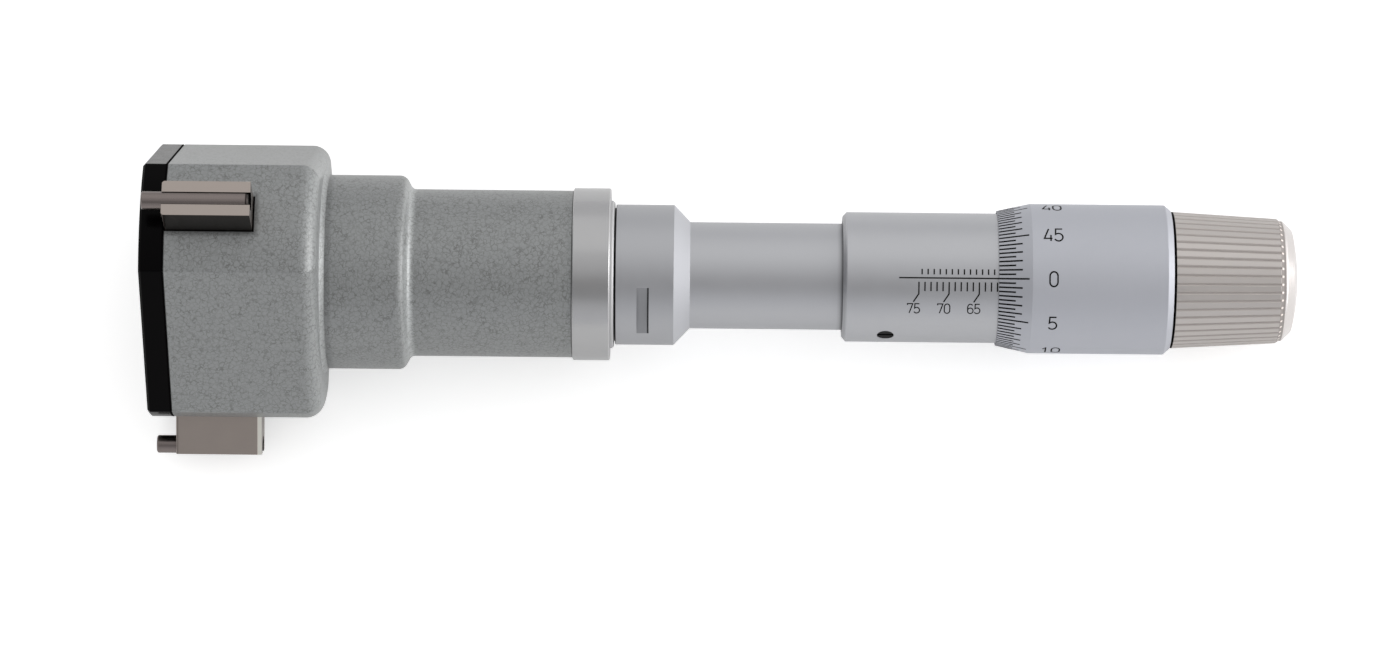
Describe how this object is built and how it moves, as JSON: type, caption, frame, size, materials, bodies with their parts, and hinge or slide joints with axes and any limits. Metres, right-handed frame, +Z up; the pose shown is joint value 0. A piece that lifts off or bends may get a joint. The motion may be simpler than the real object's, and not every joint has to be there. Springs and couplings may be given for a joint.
{
  "type": "three-point micrometer",
  "caption": "Inside micrometer whose thimble drives a cone that spreads carbide-tipped jaws out of a flat-sided head to measure a bore.",
  "frame": {"origin": "on the instrument's axis, at the front face of the cover", "axes": "+X along the axis towards the ratchet knob, +Z straight up along one jaw, with the head lying on the flat opposite that jaw"},
  "size_m": [0.1915, 0.0562, 0.0505],
  "materials": {
    "hammertone_paint": "grey-green hammer finish enamel, semi-gloss, with fine cells",
    "black_enamel": "gloss black",
    "satin_ring": "satin turned steel with a polished lip",
    "satin_chrome": "satin chrome plate",
    "blackened_steel": "blackened, matt",
    "bronze": "turned bronze",
    "turned_steel": "fine turned",
    "hardened_steel": "hardened and ground",
    "spring_steel": "drawn wire",
    "ground_steel": "warm ground steel",
    "carbide": "ground carbide, grey-brown",
    "nickel_silver": "satin nickel with cut grooves",
    "polished_nickel": "polished nickel"
  },
  "bodies": {
    "root": {"head_body": "hammertone_paint", "front_cover": "black_enamel", "cover_screw_top": "blackened_steel", "cover_screw_near": "blackened_steel", "cover_screw_far": "blackened_steel", "lock_ring": "satin_ring", "body_tube": "satin_chrome", "graduated_sleeve": "satin_chrome", "sleeve_set_screw": "blackened_steel", "front_rod_bush": "bronze", "rear_rod_bush": "bronze", "spindle_nut": "turned_steel", "adjusting_nut": "turned_steel", "jaw_spring_top": "spring_steel", "jaw_spring_near": "spring_steel", "jaw_spring_far": "spring_steel"},
    "cone": {"measuring_cone": "hardened_steel", "push_rod": "turned_steel", "thrust_ball": "hardened_steel"},
    "thimble": {"spindle": "hardened_steel", "thimble": "satin_chrome", "ratchet_hub": "hardened_steel", "ratchet_screw": "turned_steel", "ratchet_washer": "turned_steel"},
    "ratchet_knob": {"ratchet_knob": "nickel_silver", "end_cap": "polished_nickel", "pawl_ring": "hardened_steel", "ratchet_spring": "spring_steel"},
    "jaw_top": {"jaw_top": "ground_steel", "carbide_pin_top": "carbide"},
    "jaw_near": {"jaw_near": "ground_steel", "carbide_pin_near": "carbide"},
    "jaw_far": {"jaw_far": "ground_steel", "carbide_pin_far": "carbide"}
  },
  "joints": [
    {"name": "cone_advance", "type": "slide", "parent": "root", "child": "cone", "axis": [-1, 0, 0], "range_m": [0, 0.013]},
    {"name": "thimble_turn", "type": "hinge", "parent": "cone", "child": "thimble", "pos_m": [0.155, 0, 0], "axis": [-1, 0, 0], "range_deg": [0, 9360]},
    {"name": "ratchet_slip", "type": "hinge", "parent": "thimble", "child": "ratchet_knob", "pos_m": [0.18, 0, 0], "axis": [-1, 0, 0], "continuous": true},
    {"name": "jaw_top_slide", "type": "slide", "parent": "root", "child": "jaw_top", "axis": [0, 0, 1], "range_m": [0, 0.0065], "deforming": ["jaw_spring_top"]},
    {"name": "jaw_near_slide", "type": "slide", "parent": "root", "child": "jaw_near", "axis": [0, -0.866, -0.5], "range_m": [0, 0.0065], "deforming": ["jaw_spring_near"]},
    {"name": "jaw_far_slide", "type": "slide", "parent": "root", "child": "jaw_far", "axis": [0, 0.866, -0.5], "range_m": [0, 0.0065], "deforming": ["jaw_spring_far"]}
  ],
  "couplings": [
    {"joint": "thimble_turn", "follows": "cone_advance", "rad_per_m": 12566},
    {"joint": "jaw_top_slide", "follows": "cone_advance", "ratio": 0.5},
    {"joint": "jaw_near_slide", "follows": "cone_advance", "ratio": 0.5},
    {"joint": "jaw_far_slide", "follows": "cone_advance", "ratio": 0.5}
  ]
}
